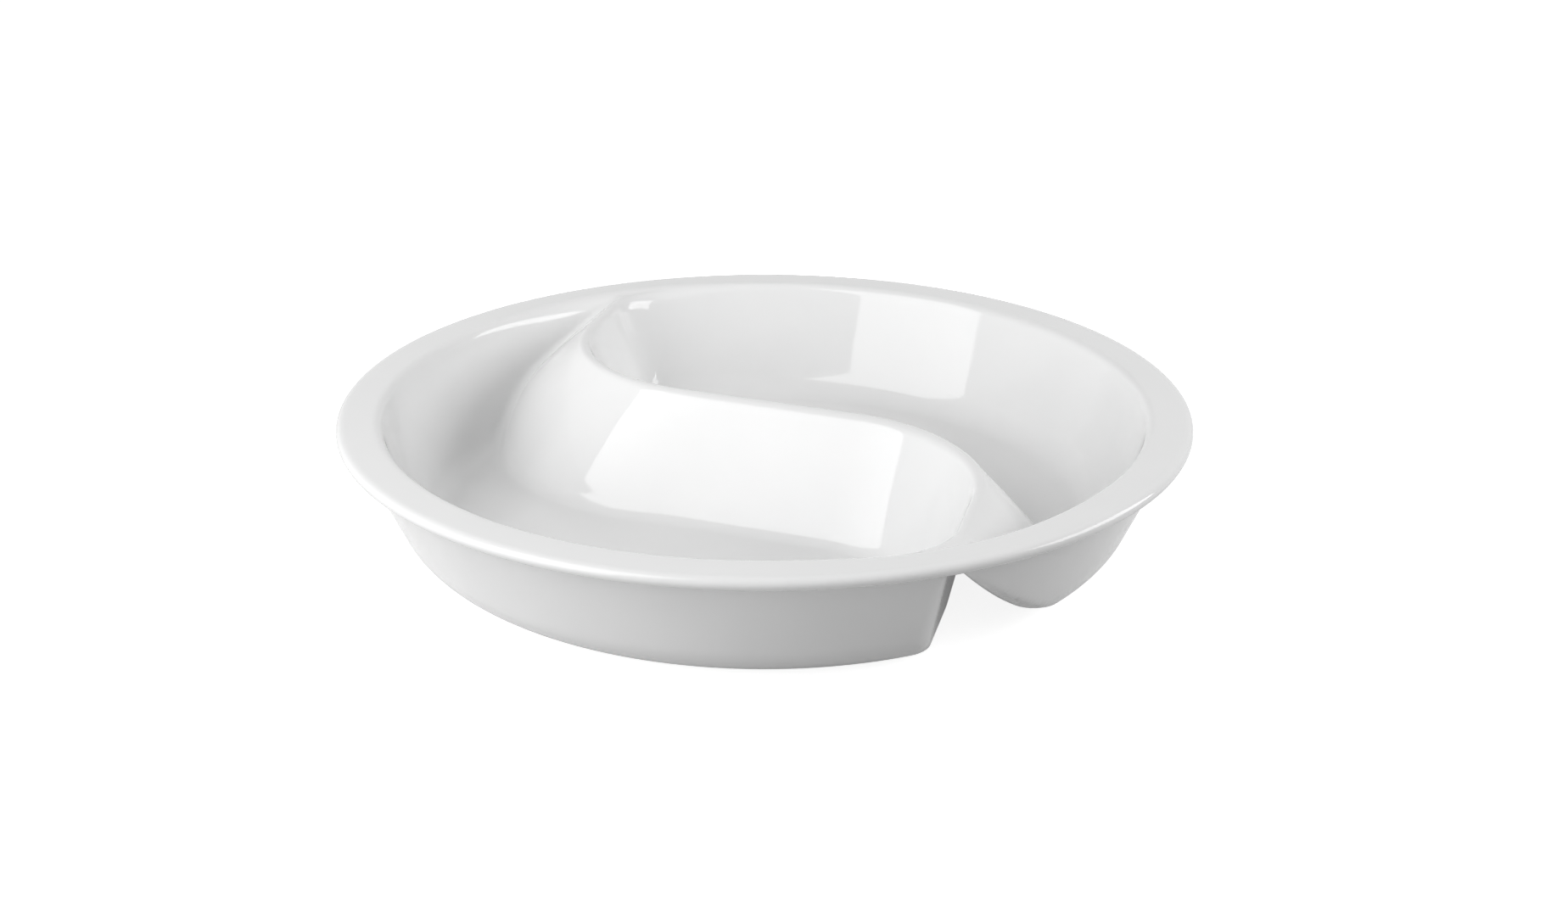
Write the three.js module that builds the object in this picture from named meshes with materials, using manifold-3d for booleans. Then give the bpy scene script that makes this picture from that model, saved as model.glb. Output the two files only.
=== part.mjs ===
// Divided food pan: a round porcelain insert for a buffet chafing dish.
// One fired body: a rim flange, a conical wall, two comma-shaped compartments that are half-turn copies
// of each other, and between them a hollow S-shaped divider whose channel is open below and at both ends.
import * as THREE from 'three';
import { mergeVertices } from 'three/addons/utils/BufferGeometryUtils.js';
import Module from 'manifold-3d';

// Driving dimensions, in millimetres and degrees
const HEIGHT = 63;
const RIM_RADIUS = 200;
const RIM_WIDTH = 18;
const RIM_THICKNESS = 6;
const RIM_EDGE_ROUND = 5;
const RIM_UNDER_ROUND = 0.8;
const RIM_INNER_ROUND = 3;
const RIM_ROOT_ROUND = 3;
const RIM_OVERHANG = 8.5;
const WALL_OUTER_DRAFT = 24;
const WALL_INNER_DRAFT = 15;
const WALL_INNER_BASE_DRAFT = 20;
const BASE_ROUND = 31;
const FLOOR_THICKNESS = 6.5;
const FLOOR_ROUND = 18;
const FOOT_BAND = 10;
const FOOT_RECESS = 1;
const DIVIDER_HEADING = -21.8;
const DIVIDER_STRAIGHT = 90;
const DIVIDER_BEND_RADIUS = 82;
const DIVIDER_BEND_ANGLE = 83;
const FACE_CONVEX_DRAFT = 50;
const FACE_CONCAVE_DRAFT = 13;
const FACE_BASE_DRAFT = 22;
const DIVIDER_DROP = 1.5;
const CREST_ROUND = 8;
const CREST_FLAT = 2;
const CREST_THICKNESS = 8;
const DIVIDER_FOOT_ROUND = 16;
const CHANNEL_CONVEX_DRAFT = 46;
const CHANNEL_CONCAVE_DRAFT = 12;
const CHANNEL_BASE_DRAFT = 20;
const CHANNEL_ARCH_ROUND = 2;
const CHANNEL_EDGE_ROUND = 10;
const TAIL_CORNER = 8;
const NOSE_CORNER = 12;
const NOTCH_TAIL_TOP_CORNER = 3;
const NOTCH_TAIL_BASE_CORNER = 9;
const NOTCH_NOSE_TOP_CORNER = 8;
const NOTCH_NOSE_BASE_CORNER = 12;

// Facets
const RIM_SEGMENTS = 84;
const LARGE_ROUND_STEPS = 4;
const SMALL_ROUND_STEPS = 3;
const FLANK_STEPS = 4;
const WALL_POINTS = 36;
const DIVIDER_POINTS = 28;
const CORNER_POINTS = 3;

// How far cutting and joining solids reach into each other
const OVERLAP = 0.5;

// Levels and radii that follow from the sizes above
const CREST_TOP = HEIGHT - DIVIDER_DROP;
const ARCH_TOP = CREST_TOP - CREST_THICKNESS;
const RIM_UNDERSIDE = HEIGHT - RIM_THICKNESS;
const COLLAR_BOTTOM = Math.min(ARCH_TOP, RIM_UNDERSIDE - RIM_ROOT_ROUND);
const WALL_TOP_RADIUS = RIM_RADIUS - RIM_OVERHANG;
const MOUTH_RADIUS = RIM_RADIUS - RIM_WIDTH;

const radians = THREE.MathUtils.degToRad;
const wasm = await Module();
wasm.setup();

// The section that every face of the pan has: at height z, how far a ridge's face stands from its crest,
// with a round top, a flank whose draft changes evenly from its top to its base, and a round foot
function flank(z, { top, round, draft, baseDraft, foot, bottom }) {
  const lean = Math.tan(radians(draft));
  const baseLean = Math.tan(radians(baseDraft));
  const shoulder = top - round * (1 - Math.sin(radians(draft)));
  const toe = bottom + foot * (1 - Math.sin(radians(baseDraft)));
  if (z > shoulder) return Math.sqrt(Math.max(0, round ** 2 - (z - top + round) ** 2));
  const depth = shoulder - Math.max(z, toe);
  const change = (baseLean - lean) / (2 * (shoulder - toe));
  const side = round * Math.cos(radians(draft)) + depth * (lean + depth * change);
  if (z >= toe) return side;
  return side + foot * Math.cos(radians(baseDraft)) - Math.sqrt(foot ** 2 - (bottom + foot - z) ** 2);
}

const outerWall = {
  top: RIM_UNDERSIDE,
  round: 0,
  draft: WALL_OUTER_DRAFT,
  baseDraft: WALL_OUTER_DRAFT,
  foot: BASE_ROUND,
  bottom: 0,
};
const innerWall = {
  top: HEIGHT,
  round: RIM_INNER_ROUND,
  draft: WALL_INNER_DRAFT,
  baseDraft: WALL_INNER_BASE_DRAFT,
  foot: FLOOR_ROUND,
  bottom: FLOOR_THICKNESS,
};
const dividerFace = {
  top: CREST_TOP,
  round: CREST_ROUND,
  draft: FACE_CONCAVE_DRAFT,
  baseDraft: FACE_BASE_DRAFT,
  foot: DIVIDER_FOOT_ROUND,
  bottom: FLOOR_THICKNESS,
};
const channelFace = {
  top: ARCH_TOP,
  round: CHANNEL_ARCH_ROUND,
  draft: CHANNEL_CONCAVE_DRAFT,
  baseDraft: CHANNEL_BASE_DRAFT,
  foot: CHANNEL_EDGE_ROUND,
  bottom: 0,
};

const outerRadius = (z) => WALL_TOP_RADIUS - flank(z, outerWall);
const innerRadius = (z) => MOUTH_RADIUS - flank(z, innerWall);

// The divider's crest line in plan: a straight middle, a bend each way and straight ends.
// s is the length along it from the centre, and the normal points into the front compartment
function crestLine(s) {
  const along = Math.abs(s);
  const half = DIVIDER_STRAIGHT / 2;
  const bendAngle = radians(DIVIDER_BEND_ANGLE);
  const turned = THREE.MathUtils.clamp((along - half) / DIVIDER_BEND_RADIUS, 0, bendAngle);
  const end = Math.max(0, along - half - DIVIDER_BEND_RADIUS * bendAngle);
  const x = Math.min(along, half) + DIVIDER_BEND_RADIUS * Math.sin(turned) + end * Math.cos(turned);
  const y = -DIVIDER_BEND_RADIUS * (1 - Math.cos(turned)) - end * Math.sin(turned);
  const centre = new THREE.Vector2();
  const heading = radians(DIVIDER_HEADING);
  const point = new THREE.Vector2(x, y).multiplyScalar(Math.sign(s)).rotateAround(centre, heading);
  const normal = new THREE.Vector2(0, -1).rotateAround(centre, heading - turned);
  return { point, normal };
}

// Distance from the crest line to the divider's face or its channel, on the front compartment's side.
// Both lean far over round the outside of one bend, and ever less towards the inside of the other
function dividerReach(z, s, section, convexDraft) {
  const bendEnd = DIVIDER_STRAIGHT / 2 + DIVIDER_BEND_RADIUS * radians(DIVIDER_BEND_ANGLE);
  const inside = THREE.MathUtils.smoothstep(s, -bendEnd, bendEnd);
  const draft = THREE.MathUtils.lerp(convexDraft, section.draft, inside);
  return flank(z, { ...section, draft, baseDraft: Math.min(draft, section.baseDraft) });
}
const faceReach = (z, s) => dividerReach(z, s, dividerFace, FACE_CONVEX_DRAFT);
const channelReach = (z, s) => dividerReach(z, s, channelFace, CHANNEL_CONVEX_DRAFT);

// Corners in plan between the outer wall and the channel, which open out towards the base
const notchCorner = (z, base, top) => THREE.MathUtils.lerp(base, top, z / ARCH_TOP);

// One level of the front compartment in plan: the divider's face, the wall, and a round corner between them
// at the sharp tail and at the blunt nose
function compartmentOutline({ wall, reach, tailCorner, noseCorner }) {
  const face = (s, extra) => {
    const { point, normal } = crestLine(s);
    return point.addScaledVector(normal, reach(s) + extra);
  };
  const corner = (side, radius) => {
    let low = 0;
    let high = 2 * RIM_RADIUS;
    while (high - low > 1e-6) {
      const middle = (low + high) / 2;
      if (face(side * middle, radius).length() < wall - radius) low = middle;
      else high = middle;
    }
    const s = side * low;
    const centre = face(s, radius);
    const from = face(s, 0).sub(centre).angle();
    const to = centre.angle();
    const sweep = Math.atan2(Math.sin(to - from), Math.cos(to - from));
    const arc = new THREE.ArcCurve(centre.x, centre.y, radius, from, from + sweep, sweep < 0);
    return { s, to, points: arc.getPoints(CORNER_POINTS) };
  };
  const tail = corner(-1, tailCorner);
  const nose = corner(1, noseCorner);
  const divider = Array.from({ length: DIVIDER_POINTS - 1 }, (_, i) => (
    face(THREE.MathUtils.lerp(tail.s, nose.s, (i + 1) / DIVIDER_POINTS), 0)
  ));
  const rim = new THREE.ArcCurve(0, 0, wall, nose.to, tail.to, true).getPoints(WALL_POINTS).slice(1, -1);
  return [...tail.points.reverse(), ...divider, ...nose.points, ...rim].reverse();
}

// A closed skin through outlines with the same count of points, one above the other
function loft(levels) {
  const count = levels[0].points.length;
  const position = levels.flatMap(({ z, points }) => points.flatMap((p) => [p.x, p.y, z]));
  const index = [];
  for (let k = 0; k + 1 < levels.length; k += 1) {
    for (let i = 0; i < count; i += 1) {
      const a = k * count + i;
      const b = k * count + ((i + 1) % count);
      index.push(a, b, b + count, a, b + count, a + count);
    }
  }
  const lid = (level) => THREE.ShapeUtils.triangulateShape(levels[level].points, []);
  const last = levels.length - 1;
  lid(0).forEach(([a, b, c]) => index.push(a, c, b));
  lid(last).forEach((face) => index.push(...face.map((i) => last * count + i)));
  const geometry = new THREE.BufferGeometry();
  geometry.setAttribute('position', new THREE.Float32BufferAttribute(position, 3));
  geometry.setIndex(index);
  return geometry;
}

// A solid turned about +Z from a profile of radius and height, listed from the axis at the bottom
function revolve(profile) {
  const points = profile.map(([radius, z]) => new THREE.Vector2(radius, z));
  return new THREE.LatheGeometry(points, RIM_SEGMENTS).rotateX(Math.PI / 2);
}

// Points round an arc of a profile, angles in degrees
function profileArc(radius, z, size, from, to) {
  return Array.from({ length: SMALL_ROUND_STEPS + 1 }, (_, i) => {
    const angle = radians(THREE.MathUtils.lerp(from, to, i / SMALL_ROUND_STEPS));
    return [radius + size * Math.cos(angle), z + size * Math.sin(angle)];
  });
}

// Heights that follow a round foot from the floor to its flank, a round top from its flank to the crest,
// and the flank between two heights
function footHeights({ bottom, foot, baseDraft }, steps) {
  return Array.from({ length: steps + 1 }, (_, i) => (
    bottom + foot * (1 - Math.cos(radians(90 - baseDraft) * (i / steps)))
  ));
}
function crownHeights({ top, round, draft }, steps) {
  const depths = footHeights({ bottom: 0, foot: round, baseDraft: draft }, steps);
  return depths.map((depth) => top - depth).reverse();
}
function flankHeights(toe, shoulder) {
  return Array.from({ length: FLANK_STEPS - 1 }, (_, i) => (
    THREE.MathUtils.lerp(toe, shoulder, (i + 1) / FLANK_STEPS)
  ));
}

const halfTurn = (geometry) => geometry.clone().rotateZ(Math.PI);

function toSolid(geometry) {
  const bare = geometry.clone();
  bare.deleteAttribute('normal');
  bare.deleteAttribute('uv');
  const merged = mergeVertices(bare);
  const corners = merged.index.array;
  const triangles = [];
  for (let i = 0; i < corners.length; i += 3) {
    const [a, b, c] = corners.slice(i, i + 3);
    if (a !== b && b !== c && c !== a) triangles.push(a, b, c);
  }
  const vertProperties = new Float32Array(merged.attributes.position.array);
  const triVerts = new Uint32Array(triangles);
  return new wasm.Manifold(new wasm.Mesh({ numProp: 3, vertProperties, triVerts }));
}

function toGeometry(solid) {
  const mesh = solid.getMesh();
  const geometry = new THREE.BufferGeometry();
  geometry.setAttribute('position', new THREE.Float32BufferAttribute(mesh.vertProperties, 3));
  geometry.setIndex(new THREE.Uint32BufferAttribute(mesh.triVerts, 1));
  const flat = geometry.toNonIndexed();
  flat.computeVertexNormals();
  return flat;
}

// The rim flange with the collar of wall under it, as a full disc before the compartments are cut
function rimDisc() {
  const lean = radians(WALL_OUTER_DRAFT);
  const rootZ = RIM_UNDERSIDE - RIM_ROOT_ROUND;
  const rootRadius = outerRadius(rootZ) + RIM_ROOT_ROUND / Math.cos(lean);
  const underRadius = RIM_RADIUS - RIM_UNDER_ROUND;
  const edgeRadius = RIM_RADIUS - RIM_EDGE_ROUND;
  return revolve([
    [0, COLLAR_BOTTOM],
    [outerRadius(COLLAR_BOTTOM), COLLAR_BOTTOM],
    ...profileArc(rootRadius, rootZ, RIM_ROOT_ROUND, 180 - WALL_OUTER_DRAFT, 90),
    ...profileArc(underRadius, RIM_UNDERSIDE + RIM_UNDER_ROUND, RIM_UNDER_ROUND, -90, 0),
    ...profileArc(edgeRadius, HEIGHT - RIM_EDGE_ROUND, RIM_EDGE_ROUND, 0, 90),
    [0, HEIGHT],
  ]);
}

// What the mouth removes above the crest, with the rim's round inner edge
function mouthCut() {
  const above = HEIGHT + OVERLAP;
  const crown = crownHeights(innerWall, SMALL_ROUND_STEPS).filter((z) => z > CREST_TOP);
  return revolve([
    [0, CREST_TOP],
    ...[CREST_TOP, ...crown].map((z) => [innerRadius(z), z]),
    [MOUTH_RADIUS, above],
    [0, above],
  ]);
}

// The outside of one compartment, from its base up into the rim disc
function outerTub() {
  const base = footHeights(outerWall, LARGE_ROUND_STEPS);
  const arch = crownHeights(channelFace, SMALL_ROUND_STEPS);
  const heights = new Set([
    ...base,
    ...footHeights(channelFace, SMALL_ROUND_STEPS),
    ...flankHeights(base.at(-1), arch[0]),
    ...arch,
  ]);
  const level = (z, wall, narrow) => ({
    z,
    points: compartmentOutline({
      wall,
      reach: (s) => channelReach(z, s) - narrow,
      tailCorner: notchCorner(z, NOTCH_TAIL_BASE_CORNER, NOTCH_TAIL_TOP_CORNER),
      noseCorner: notchCorner(z, NOTCH_NOSE_BASE_CORNER, NOTCH_NOSE_TOP_CORNER),
    }),
  });
  const sides = [...heights].sort((a, b) => a - b).filter((z) => z < COLLAR_BOTTOM - OVERLAP / 2);
  return loft([
    ...sides.map((z) => level(z, outerRadius(z), 0)),
    level(COLLAR_BOTTOM, outerRadius(COLLAR_BOTTOM), OVERLAP),
    level(COLLAR_BOTTOM + OVERLAP, outerRadius(COLLAR_BOTTOM) - OVERLAP, OVERLAP),
  ]);
}

// The hollow of one compartment, from its floor up into the mouth
function innerTub() {
  const narrowest = CREST_FLAT / 2;
  const floor = footHeights(innerWall, LARGE_ROUND_STEPS);
  const crest = crownHeights(dividerFace, SMALL_ROUND_STEPS);
  const heights = [...floor, ...flankHeights(floor.at(-1), crest[0]), ...crest];
  const level = (z, wall) => ({
    z,
    points: compartmentOutline({
      wall,
      reach: (s) => Math.max(narrowest, faceReach(z, s)),
      tailCorner: TAIL_CORNER,
      noseCorner: NOSE_CORNER,
    }),
  });
  return loft([
    ...heights.map((z) => level(z, innerRadius(z))),
    level(CREST_TOP + OVERLAP, innerRadius(CREST_TOP) - OVERLAP),
  ]);
}

// The shallow hollow under one floor that leaves a standing band round its edge
function footRecess() {
  const level = (z) => ({
    z,
    points: compartmentOutline({
      wall: outerRadius(0) - FOOT_BAND,
      reach: (s) => channelReach(0, s) + FOOT_BAND,
      tailCorner: NOTCH_TAIL_BASE_CORNER,
      noseCorner: NOTCH_NOSE_BASE_CORNER,
    }),
  });
  return loft([level(-OVERLAP), level(FOOT_RECESS)]);
}

function panBody() {
  const both = (geometry) => toSolid(geometry).add(toSolid(halfTurn(geometry)));
  return toSolid(rimDisc())
    .add(both(outerTub()))
    .subtract(both(innerTub()))
    .subtract(toSolid(mouthCut()))
    .subtract(both(footRecess()));
}

const glazedPorcelain = new THREE.MeshStandardMaterial({ color: 0xf2f2f0, roughness: 0.12, metalness: 0 });

const pan = new THREE.Group();
const body = new THREE.Mesh(toGeometry(panBody()), glazedPorcelain);
body.name = 'porcelain_pan';
pan.add(body);

export default pan;
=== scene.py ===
import bpy
import numpy as np
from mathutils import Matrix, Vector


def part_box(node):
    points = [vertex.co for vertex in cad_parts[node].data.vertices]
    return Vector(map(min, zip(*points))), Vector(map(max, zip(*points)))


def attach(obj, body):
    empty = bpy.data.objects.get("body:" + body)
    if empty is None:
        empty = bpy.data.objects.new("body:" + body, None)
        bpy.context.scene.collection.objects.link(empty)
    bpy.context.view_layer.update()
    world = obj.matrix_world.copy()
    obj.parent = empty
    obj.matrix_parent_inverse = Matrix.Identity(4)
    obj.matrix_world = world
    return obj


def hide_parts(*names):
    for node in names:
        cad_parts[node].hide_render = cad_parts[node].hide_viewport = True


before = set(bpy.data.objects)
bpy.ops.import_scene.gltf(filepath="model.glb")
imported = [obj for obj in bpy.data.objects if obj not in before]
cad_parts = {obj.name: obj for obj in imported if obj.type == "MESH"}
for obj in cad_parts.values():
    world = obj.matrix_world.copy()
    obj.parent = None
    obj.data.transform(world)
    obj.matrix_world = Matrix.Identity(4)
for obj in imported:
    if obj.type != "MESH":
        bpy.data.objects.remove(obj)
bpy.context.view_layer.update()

# The pan's sizes in metres, the overall ones from the frame
MM = 0.001
node_low, node_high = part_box("porcelain_pan")
RIM_RADIUS = (node_high[0] - node_low[0]) / 2
HEIGHT = node_high[2] - node_low[2]
RIM_WIDTH = 17 * MM
RIM_THICKNESS = 6 * MM
RIM_EDGE_ROUND = 3 * MM
RIM_UNDER_ROUND = 3.5 * MM
RIM_INNER_ROUND = 4.5 * MM
RIM_ROOT_ROUND = 3 * MM
RIM_OVERHANG = 8.5 * MM
WALL_OUTER_DRAFT = np.radians(24)
WALL_INNER_DRAFT = np.radians(15)
WALL_INNER_BASE_DRAFT = np.radians(20)
BASE_ROUND = 31 * MM
FLOOR_THICKNESS = 6.5 * MM
FLOOR_ROUND = 18 * MM
FOOT_BAND = 10 * MM
FOOT_RECESS = 1 * MM
FOOT_EDGE_ROUND = 0.8 * MM
DIVIDER_HEADING = np.radians(-21.8)
DIVIDER_STRAIGHT = 90 * MM
DIVIDER_BEND_RADIUS = 82 * MM
DIVIDER_BEND_ANGLE = np.radians(83)
DIVIDER_DROP = 1.5 * MM
CREST_THICKNESS = 8 * MM
DIVIDER_FOOT_ROUND = 10.5 * MM
CHANNEL_CONVEX_DRAFT = np.radians(22)
CHANNEL_CONCAVE_DRAFT = np.radians(13)
CHANNEL_ARCH_ROUND = 2 * MM
CHANNEL_EDGE_ROUND = 10 * MM
CHANNEL_CLOSING_SLOPE = 4

# Corners in plan, where the divider meets the wall: a pair is at the bottom and at the top
TAIL_CORNER = 2.5 * MM
NOSE_CORNERS = (12 * MM, 48 * MM)
NOTCH_TAIL_CORNERS = (9 * MM, 3 * MM)
NOTCH_NOSE_CORNERS = (14 * MM, 13 * MM)

# The rim's inner round grows near the divider's ends, between these distances from the crest line and radii
RIM_SADDLE_ROUND = 10 * MM
SADDLE_NEAR, SADDLE_FAR = 12 * MM, 60 * MM
SADDLE_RADII = (120 * MM, 165 * MM)

# The front compartment's divider face at places along the crest line, from its tail round the outside of
# one bend, along the straight and round the inside of the other: draft under the crest, draft at the base
# and round of the crest
FACE_PLACES = np.array([-165, -105, -22, 65, 180]) * MM
FACE_TOP_DRAFTS = np.radians([53, 40, 27, 27, 18])
FACE_BASE_DRAFTS = np.radians([27, 32, 26, 26, 18])
FACE_CREST_ROUNDS = np.array([3.5, 3, 5.5, 5.5, 3]) * MM

# Levels and radii that follow from them
CREST_TOP = HEIGHT - DIVIDER_DROP
ARCH_TOP = CREST_TOP - CREST_THICKNESS
RIM_UNDERSIDE = HEIGHT - RIM_THICKNESS
WALL_TOP_RADIUS = RIM_RADIUS - RIM_OVERHANG
MOUTH_RADIUS = RIM_RADIUS - RIM_WIDTH

# How the surface is sampled
FACE_SIZE = 1.5 * MM
RELAX_ROUNDS = 6
RELAX_SHARE = 0.5
SETTLE_ROUNDS = 5
SETTLE_REACH = 3 * MM
SETTLE_HALVINGS = 14
COSINE_LIMIT = 0.999


def smoothstep(value, low, high):
    """0 up to the low limit, 1 from the high one, and an even S between them."""
    share = np.clip((value - low) / (high - low), 0, 1)
    return share * share * (3 - 2 * share)


def between(ends, share):
    """The value that lies this share of the way from the first end to the second."""
    return ends[0] + (ends[1] - ends[0]) * share


def flank(z, top, crown, draft, base_draft, foot, bottom):
    """How far a ridge's face stands from its crest at height z: round top, flank and round foot."""
    shoulder = top - crown * (1 - np.sin(draft))
    toe = bottom + foot * (1 - np.sin(base_draft))
    over = np.sqrt(np.maximum(0, crown**2 - (z - top + crown) ** 2))
    depth = shoulder - np.maximum(z, toe)
    change = (np.tan(base_draft) - np.tan(draft)) / (2 * (shoulder - toe))
    side = crown * np.cos(draft) + depth * (np.tan(draft) + depth * change)
    curve = np.sqrt(np.maximum(0, foot**2 - (bottom + foot - z) ** 2))
    under = side + foot * np.cos(base_draft) - curve
    return np.where(z > shoulder, over, np.where(z >= toe, side, under))


def rounded_max(a, b, cosine, radius):
    """The larger of two distances, with an arc where they meet; cosine is between their directions."""
    a, b = a + radius, b + radius
    cosine = np.clip(cosine, -COSINE_LIMIT, COSINE_LIMIT)
    corner = (a > b * cosine) & (b > a * cosine)
    apart = np.sqrt(np.maximum(0, a * a + b * b - 2 * a * b * cosine) / (1 - cosine * cosine))
    return np.where(corner, apart, np.maximum(a, b)) - radius


def divider_place(x, y):
    """Length along the crest line, distance from it towards the front compartment, and that direction."""
    turn = np.exp(-1j * DIVIDER_HEADING) * (x + 1j * y)
    side = np.where(turn.real >= 0, 1.0, -1.0)
    u, v = side * turn.real, side * turn.imag
    half = DIVIDER_STRAIGHT / 2
    turned = np.clip(np.arctan2(u - half, v + DIVIDER_BEND_RADIUS), 0, DIVIDER_BEND_ANGLE)
    turned = np.where(u > half, turned, 0)
    foot_u = half + DIVIDER_BEND_RADIUS * np.sin(turned)
    foot_v = -DIVIDER_BEND_RADIUS * (1 - np.cos(turned))
    normal_u, normal_v = -np.sin(turned), -np.cos(turned)
    distance = (u - foot_u) * normal_u + (v - foot_v) * normal_v
    along = half + DIVIDER_BEND_RADIUS * turned
    along = along + (u - foot_u) * np.cos(turned) - (v - foot_v) * np.sin(turned)
    normal = np.exp(1j * DIVIDER_HEADING) * (normal_u + 1j * normal_v)
    return side * along, side * distance, normal


def along_face(s, values):
    """One of the face's values at lengths s along the crest line, eased from each place to the next."""
    at = np.clip(np.searchsorted(FACE_PLACES, s) - 1, 0, len(FACE_PLACES) - 2)
    share = smoothstep(s, FACE_PLACES[at], FACE_PLACES[at + 1])
    return between((values[at], values[at + 1]), share)


def way_out_cosine(x, y, normal):
    """Cosine in plan between the ways out of a compartment through its wall and through the divider."""
    return -(x * normal.real + y * normal.imag) / np.maximum(np.hypot(x, y), MM)


def hollow(x, y, z, s, d, normal):
    """Negative inside the front compartment."""
    r = np.hypot(x, y)
    near_end = smoothstep(-np.abs(d), -SADDLE_FAR, -SADDLE_NEAR) * smoothstep(r, *SADDLE_RADII)
    crown = between((RIM_INNER_ROUND, RIM_SADDLE_ROUND), near_end)
    widen = (crown - RIM_INNER_ROUND) * (1 - np.sin(WALL_INNER_DRAFT)) / np.cos(WALL_INNER_DRAFT)
    drafts = WALL_INNER_DRAFT, WALL_INNER_BASE_DRAFT
    wall = r - MOUTH_RADIUS - widen + flank(z, HEIGHT, crown, *drafts, FLOOR_ROUND, FLOOR_THICKNESS)
    sections = FACE_CREST_ROUNDS, FACE_TOP_DRAFTS, FACE_BASE_DRAFTS
    rounds, *drafts = (along_face(s, values) for values in sections)
    face = flank(z, CREST_TOP, rounds, *drafts, DIVIDER_FOOT_ROUND, FLOOR_THICKNESS) - d
    cosine = way_out_cosine(x, y, normal)
    nose = between(NOSE_CORNERS, smoothstep(z, FLOOR_THICKNESS, CREST_TOP))
    plan = rounded_max(wall, face, cosine, np.where(s < 0, TAIL_CORNER, nose))
    mouth = np.maximum(wall, CREST_TOP - z)
    return np.maximum(np.minimum(plan, mouth), FLOOR_THICKNESS - z)


def outer_wall(z):
    """Radius of the side wall's outside at height z."""
    drafts = WALL_OUTER_DRAFT, WALL_OUTER_DRAFT
    return WALL_TOP_RADIUS - flank(z, RIM_UNDERSIDE, 0, *drafts, foot=BASE_ROUND, bottom=0)


def channel_reach(z, draft):
    """How far the hollow under the divider reaches from its crest line at height z."""
    return flank(z, ARCH_TOP, CHANNEL_ARCH_ROUND, draft, draft, CHANNEL_EDGE_ROUND, bottom=0)


def tub(x, y, z, s, d, normal):
    """Negative inside the outside of the front compartment, wall and channel face."""
    r = np.hypot(x, y)
    inside = smoothstep(s, -DIVIDER_STRAIGHT / 2, DIVIDER_STRAIGHT / 2)
    draft = between((CHANNEL_CONVEX_DRAFT, CHANNEL_CONCAVE_DRAFT), inside)
    closing = (ARCH_TOP - z) * CHANNEL_CLOSING_SLOPE
    reach = np.where(z > ARCH_TOP, closing, channel_reach(z, draft))
    share = np.clip(z / ARCH_TOP, 0, 1)
    corner = np.where(s < 0, between(NOTCH_TAIL_CORNERS, share), between(NOTCH_NOSE_CORNERS, share))
    cosine = way_out_cosine(x, y, normal)
    plan = rounded_max(r - outer_wall(z), reach - d, cosine, corner)
    ground = np.zeros_like(z)
    base = rounded_max(r - outer_wall(ground), channel_reach(ground, draft) - d, cosine, corner)
    recess = rounded_max(base + FOOT_BAND, z - FOOT_RECESS, cosine=0, radius=FOOT_EDGE_ROUND)
    plan = np.maximum(plan, z - RIM_UNDERSIDE - RIM_THICKNESS / 2)
    return np.maximum(np.maximum(plan, -z), -recess)


def pan_shape(points):
    """Negative inside the porcelain, at points in metres."""
    x, y, z = points.T
    r = np.hypot(x, y)
    s, d, normal = divider_place(x, y)
    front, back = (x, y, z, s, d, normal), (x, y, z, -s, -d, -normal)
    body = np.minimum(tub(*front), tub(*back))
    flange = rounded_max(r - RIM_RADIUS, z - HEIGHT, cosine=0, radius=RIM_EDGE_ROUND)
    flange = rounded_max(flange, RIM_UNDERSIDE - z, cosine=0, radius=RIM_UNDER_ROUND)
    lean = np.sin(WALL_OUTER_DRAFT)
    solid = -rounded_max(-body * np.cos(WALL_OUTER_DRAFT), -flange, lean, RIM_ROOT_ROUND)
    return np.maximum(solid, -np.minimum(hollow(*front), hollow(*back)))


def even_mesh(node):
    """A closed mesh of even faces close round a CAD node."""
    source = bpy.data.objects.new("pan_source", node.data.copy())
    bpy.context.collection.objects.link(source)
    remesh = source.modifiers.new("even_faces", "REMESH")
    remesh.mode = "VOXEL"
    remesh.voxel_size = FACE_SIZE
    graph = bpy.context.evaluated_depsgraph_get()
    mesh = bpy.data.meshes.new_from_object(source.evaluated_get(graph))
    bpy.data.objects.remove(source)
    return mesh


def vertex_array(values, name):
    """One vector of each of a mesh's vertices or normals, as rows."""
    flat = np.empty(len(values) * 3, dtype=np.float32)
    values.foreach_get(name, flat)
    return flat.reshape(-1, 3).astype(np.float64)


def move_vertices(mesh, points):
    """Moves a mesh's vertices to the points."""
    mesh.vertices.foreach_set("co", points.astype(np.float32).ravel())
    mesh.update()


def relax(points, edges):
    """Evens out the vertices by moving each part of the way to the middle of its neighbours."""
    count = np.bincount(edges.ravel(), minlength=len(points))[:, None]
    for _ in range(RELAX_ROUNDS):
        total = np.zeros_like(points)
        np.add.at(total, edges[:, 0], points[edges[:, 1]])
        np.add.at(total, edges[:, 1], points[edges[:, 0]])
        points = points + RELAX_SHARE * (total / count - points)
    return points


def settle(points, normals):
    """Moves each point along its normal onto the pan's surface."""
    inner, outer = points - SETTLE_REACH * normals, points + SETTLE_REACH * normals
    for _ in range(SETTLE_HALVINGS):
        middle = (inner + outer) / 2
        inside = (pan_shape(middle) < 0)[:, None]
        inner = np.where(inside, middle, inner)
        outer = np.where(inside, outer, middle)
    return (inner + outer) / 2


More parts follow.
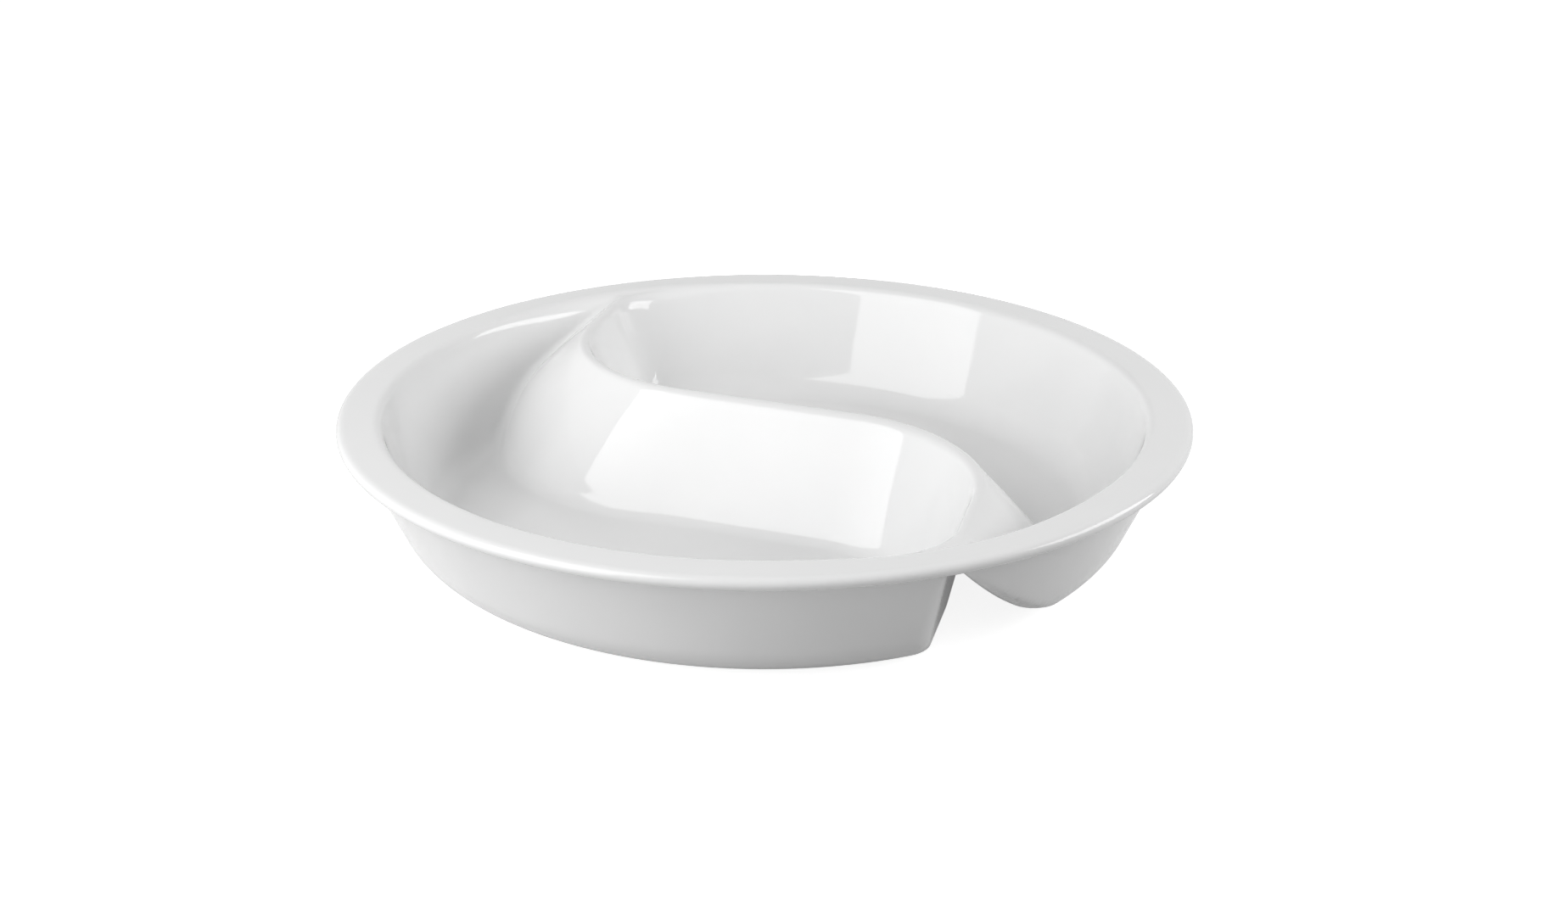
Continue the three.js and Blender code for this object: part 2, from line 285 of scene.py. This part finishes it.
def pan_mesh():
    """The CAD node's outside, evened out and settled on the pan's surface."""
    mesh = even_mesh(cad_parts["porcelain_pan"])
    edges = np.empty(len(mesh.edges) * 2, dtype=np.int32)
    mesh.edges.foreach_get("vertices", edges)
    edges = edges.reshape(-1, 2)
    for _ in range(SETTLE_ROUNDS):
        points = relax(vertex_array(mesh.vertices, "co"), edges)
        move_vertices(mesh, points)
        move_vertices(mesh, settle(points, vertex_array(mesh.vertex_normals, "vector")))
    mesh.shade_smooth()
    return mesh


pan = bpy.data.objects.new("glazed_pan", pan_mesh())
bpy.context.collection.objects.link(pan)
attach(pan, "root")
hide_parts("porcelain_pan")


def feed(tree, socket, value):
    """Links an input to another node's output, or sets its value."""
    if isinstance(value, bpy.types.NodeSocket):
        tree.links.new(value, socket)
    else:
        socket.default_value = value


def add_node(tree, kind, inputs=None, **settings):
    """A shader node with its settings and its inputs."""
    node = tree.nodes.new(kind)
    for name, value in settings.items():
        setattr(node, name, value)
    for name, value in (inputs or {}).items():
        feed(tree, node.inputs[name], value)
    return node


def add_noise(tree, place, size, detail=2):
    """Noise from 0 to 1 whose patches are about the given size in metres."""
    inputs = {"Vector": place, "Scale": 1 / size, "Detail": detail}
    return add_node(tree, "ShaderNodeTexNoise", inputs).outputs["Fac"]


def add_ramp(tree, value, low, high, to_low=0, to_high=1):
    """A value between two limits spread over another range, and held at its ends."""
    inputs = {"Value": value, "From Min": low, "From Max": high, "To Min": to_low, "To Max": to_high}
    return add_node(tree, "ShaderNodeMapRange", inputs).outputs["Result"]


def add_mix(tree, share, first, second):
    """A colour between two colours."""
    node = add_node(tree, "ShaderNodeMix", data_type="RGBA")
    for name, value in (("Factor_Float", share), ("A_Color", first), ("B_Color", second)):
        feed(tree, next(i for i in node.inputs if i.identifier == name), value)
    return next(o for o in node.outputs if o.identifier == "Result_Color")


# The glaze: nearly even white, gently wavy as it ran, with pinhead specks, and wiped off the standing band.
# A range is the part of a noise that spreads over the whole change
GLAZE_WHITE = (0.86, 0.861, 0.86, 1)
GLAZE_SHADE = (0.84, 0.842, 0.842, 1)
SPECK_COLOUR = (0.62, 0.6, 0.57, 1)
BISCUIT_COLOUR = (0.74, 0.71, 0.66, 1)
CLOUD_SIZE = 70 * MM
CLOUD_RANGE = (0.35, 0.65)
SPECK_SPACING = 14 * MM
SPECK_SIZE = 0.28 * MM
SPECK_STRENGTH = 0.5
WAVE_SIZE = 22 * MM
WAVE_DEPTH = 0.05 * MM
PEEL_SIZE = 3 * MM
PEEL_DEPTH = 0.0012 * MM
GRAIN_SIZE = 0.6 * MM
GRAIN_DEPTH = 0.02 * MM
GLAZE_ROUGHNESS = (0.04, 0.075)
ROUGHNESS_SIZE = CLOUD_SIZE / 3
ROUGHNESS_RANGE = (0.3, 0.7)
BISCUIT_ROUGHNESS = 0.62
WIPED_HEIGHT = (0.2 * MM, 0.5 * MM)
WIPED_EDGE_SIZE = 4 * MM
WIPED_EDGE_STRAY = 0.2 * MM
GLAZE_IOR = 1.45


def add_bump(tree, height, depth, normal=None, strength=1):
    """A normal that follows a height from 0 to 1, on top of another normal."""
    inputs = {"Height": height, "Distance": depth, "Strength": strength}
    if normal is not None:
        inputs["Normal"] = normal
    return add_node(tree, "ShaderNodeBump", inputs).outputs["Normal"]


def glaze_material():
    """White glaze, and bare biscuit where the foot was wiped."""
    glaze = bpy.data.materials.new("white_glaze")
    glaze.use_nodes = True
    tree = glaze.node_tree
    shader = tree.nodes["Principled BSDF"]
    shader.inputs["IOR"].default_value = GLAZE_IOR
    place = add_node(tree, "ShaderNodeTexCoord").outputs["Object"]
    height = add_node(tree, "ShaderNodeSeparateXYZ", {"Vector": place}).outputs["Z"]
    stray = add_noise(tree, place, WIPED_EDGE_SIZE)
    edge = add_ramp(tree, stray, 0, 1, -WIPED_EDGE_STRAY, WIPED_EDGE_STRAY)
    level = add_node(tree, "ShaderNodeMath", {0: height, 1: edge}, operation="ADD").outputs["Value"]
    wiped = add_ramp(tree, level, *WIPED_HEIGHT, 1, 0)

    cloud = add_ramp(tree, add_noise(tree, place, CLOUD_SIZE), *CLOUD_RANGE)
    colour = add_mix(tree, cloud, GLAZE_WHITE, GLAZE_SHADE)
    cells = add_node(tree, "ShaderNodeTexVoronoi", {"Vector": place, "Scale": 1 / SPECK_SPACING})
    speck_edge = SPECK_SIZE / SPECK_SPACING
    speck = add_ramp(tree, cells.outputs["Distance"], 0, speck_edge, SPECK_STRENGTH, 0)
    colour = add_mix(tree, speck, colour, SPECK_COLOUR)
    colour = add_mix(tree, wiped, colour, BISCUIT_COLOUR)
    tree.links.new(colour, shader.inputs["Base Color"])

    patches = add_noise(tree, place, ROUGHNESS_SIZE, detail=4)
    smooth = add_ramp(tree, patches, *ROUGHNESS_RANGE, *GLAZE_ROUGHNESS)
    rough = add_ramp(tree, wiped, 0, 1, smooth, BISCUIT_ROUGHNESS)
    tree.links.new(rough, shader.inputs["Roughness"])

    normal = add_bump(tree, add_noise(tree, place, WAVE_SIZE, detail=1), WAVE_DEPTH)
    normal = add_bump(tree, add_noise(tree, place, PEEL_SIZE, detail=1), PEEL_DEPTH, normal)
    normal = add_bump(tree, add_noise(tree, place, GRAIN_SIZE, detail=3), GRAIN_DEPTH, normal, wiped)
    tree.links.new(normal, shader.inputs["Normal"])
    return glaze


pan.data.materials.clear()
pan.data.materials.append(glaze_material())

# The studio lights the pan at a plain level. The floor looks white to the camera, and pale with the pan's
# shadow in reflections. The room round it looks white to both
FLOOR_SIZE = 8.0
FLOOR_COLOUR = (0.46, 0.46, 0.46, 1)
FLOOR_REFLECTED = (0.9, 0.9, 0.9, 1)
FLOOR_GLOW = 0.88
REFLECTED_GLOW = 0.2
ROOM_LIGHT = 0.27
WHITE = (1, 1, 1, 1)


def seen_share(tree, path, reflected_share):
    """1 for rays from the camera or through glass, a share for reflections and 0 for rays that light."""
    inputs = {0: path["Is Camera Ray"], 1: path["Is Transmission Ray"]}
    shown = add_node(tree, "ShaderNodeMath", inputs, operation="ADD").outputs["Value"]
    inputs = {0: path["Is Glossy Ray"], 1: reflected_share, 2: shown}
    settings = {"operation": "MULTIPLY_ADD", "use_clamp": True}
    return add_node(tree, "ShaderNodeMath", inputs, **settings).outputs["Value"]


def floor_material():
    """A matt floor that takes the pan's shadow, with a glow for the rays that see it."""
    material = bpy.data.materials.new("pale_floor")
    material.use_nodes = True
    tree = material.node_tree
    tree.nodes.clear()
    path = add_node(tree, "ShaderNodeLightPath").outputs
    colour = add_mix(tree, path["Is Glossy Ray"], FLOOR_COLOUR, FLOOR_REFLECTED)
    matt = add_node(tree, "ShaderNodeBsdfDiffuse", {"Color": colour}).outputs["BSDF"]
    glow = add_ramp(tree, seen_share(tree, path, REFLECTED_GLOW), 0, 1, 0, FLOOR_GLOW)
    light = add_node(tree, "ShaderNodeEmission", {"Strength": glow}).outputs["Emission"]
    both = add_node(tree, "ShaderNodeAddShader", {0: matt, 1: light}).outputs["Shader"]
    add_node(tree, "ShaderNodeOutputMaterial", {"Surface": both})
    return material


floor_mesh = bpy.data.meshes.new("floor")
half = FLOOR_SIZE / 2
floor_corners = [(-half, -half, 0), (half, -half, 0), (half, half, 0), (-half, half, 0)]
floor_mesh.from_pydata(floor_corners, [], [(0, 1, 2, 3)])
floor_mesh.materials.append(floor_material())
floor = bpy.data.objects.new("floor", floor_mesh)
bpy.context.collection.objects.link(floor)

scene = bpy.context.scene


def studio_room():
    """A room that looks white, and lights the pan less than a white one would."""
    room = bpy.data.worlds.new("studio")
    room.use_nodes = True
    tree = room.node_tree
    background = tree.nodes["Background"].inputs
    path = add_node(tree, "ShaderNodeLightPath").outputs
    strength = add_ramp(tree, seen_share(tree, path, 1), 0, 1, ROOM_LIGHT, 1)
    tree.links.new(strength, background["Strength"])
    background["Color"].default_value = WHITE
    return room


scene.world = studio_room()


def softbox(name, azimuth, elevation, distance, size, radiance):
    """A rectangular lamp that faces the pan. Azimuth 0 is on the camera's side and grows to the right."""
    lamp = bpy.data.lights.new(name, "AREA")
    lamp.shape = "RECTANGLE"
    lamp.size, lamp.size_y = size
    lamp.energy = radiance * np.pi * size[0] * size[1]
    box = bpy.data.objects.new(name, lamp)
    turn, rise = np.radians(azimuth), np.radians(elevation)
    level = distance * np.cos(rise)
    box.location = (level * np.sin(turn), -level * np.cos(turn), distance * np.sin(rise) + HEIGHT)
    box.rotation_euler = (np.pi / 2 - rise, 0, turn)
    bpy.context.collection.objects.link(box)


softbox("key_softbox", azimuth=-55.3, elevation=29.9, distance=1.25, size=(1.02, 1.55), radiance=3.25)
softbox("fill_card", azimuth=90, elevation=22, distance=1.3, size=(0.9, 0.6), radiance=4.9)

# The camera stands where the photograph's did: lens and sensor in millimetres, shifts in frame widths
CAMERA_LENS = 48.366
CAMERA_SENSOR = 36
CAMERA_SHIFT = (0.0124, -0.0344)
CAMERA_PLACE = (0, -0.9352, 0.4141)
CAMERA_TILT = np.radians(69.26)

camera_data = bpy.data.cameras.new("camera")
camera_data.lens = CAMERA_LENS
camera_data.sensor_width = CAMERA_SENSOR
camera_data.shift_x, camera_data.shift_y = CAMERA_SHIFT
camera = bpy.data.objects.new("camera", camera_data)
camera.location = CAMERA_PLACE
camera.rotation_euler = (CAMERA_TILT, 0, 0)
bpy.context.collection.objects.link(camera)
scene.camera = camera
scene.view_settings.view_transform = "Standard"
